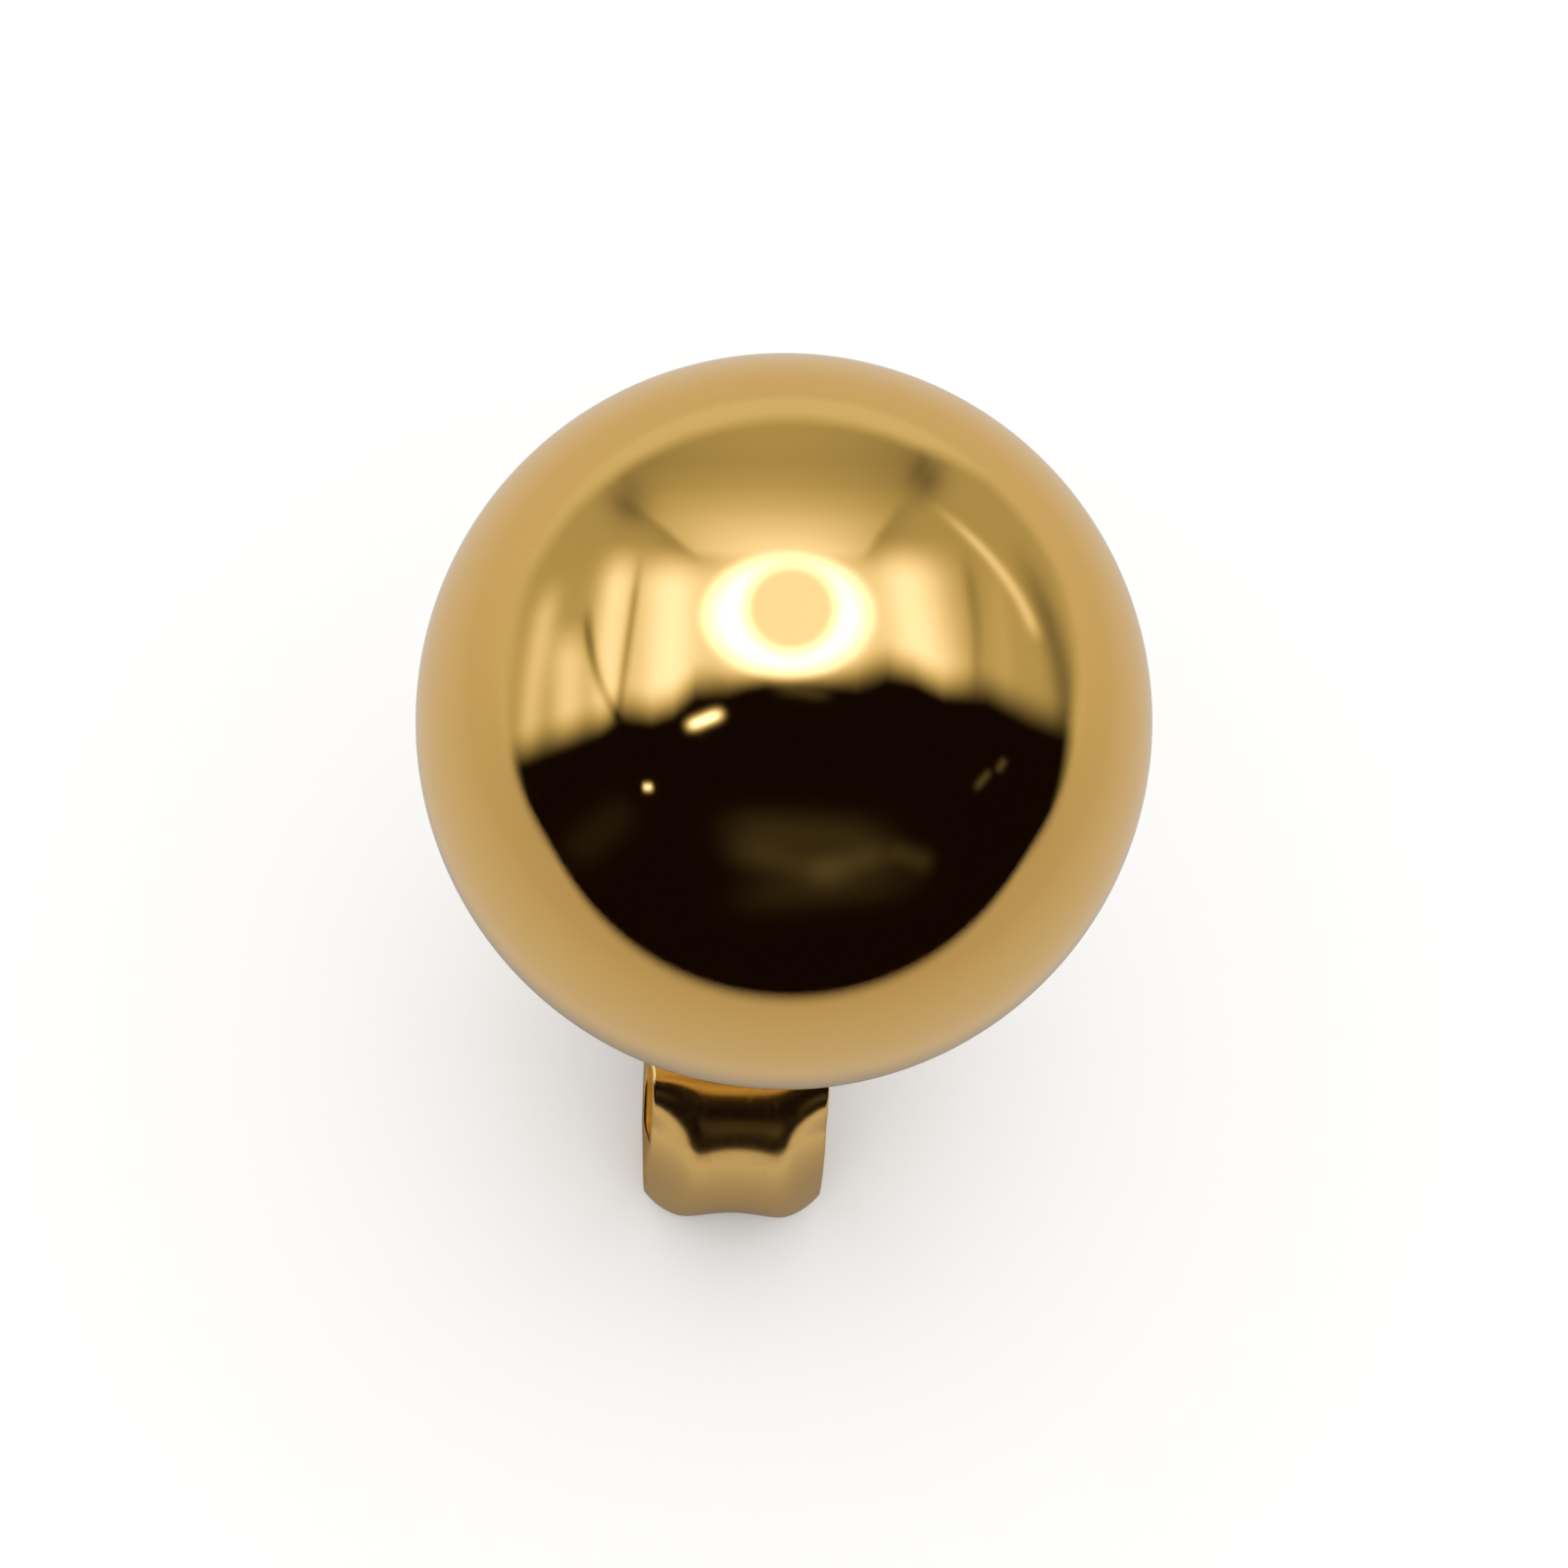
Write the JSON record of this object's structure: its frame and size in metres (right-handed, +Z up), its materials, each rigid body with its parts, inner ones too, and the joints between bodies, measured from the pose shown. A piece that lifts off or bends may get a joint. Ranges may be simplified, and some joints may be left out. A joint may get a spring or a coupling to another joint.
{
  "type": "ball stud earring",
  "caption": "Polished gold ball stud earring: hollow ball on a straight post, standing on its butterfly ear nut.",
  "frame": {"origin": "on the ground under the post's axis, where the curls of the ear nut stand", "axes": "+Z up along the post to the ball, Y along the strip of the ear nut through both curls, X across the strip"},
  "size_m": [0.01, 0.01, 0.0189],
  "materials": {
    "polished_gold": "yellow gold, mirror polished, with a faint ripple and hairlines",
    "ear_nut_gold": "yellow gold sheet, pressed and tumbled bright, with fine scratches"
  },
  "bodies": {
    "stud": {"ball_and_post": "polished_gold"},
    "nut": {"ear_nut": "ear_nut_gold"}
  },
  "joints": [
    {"name": "nut_slide", "type": "slide", "parent": "stud", "child": "nut", "axis": [0, 0, 1], "range_m": [0, 0.0058]}
  ]
}
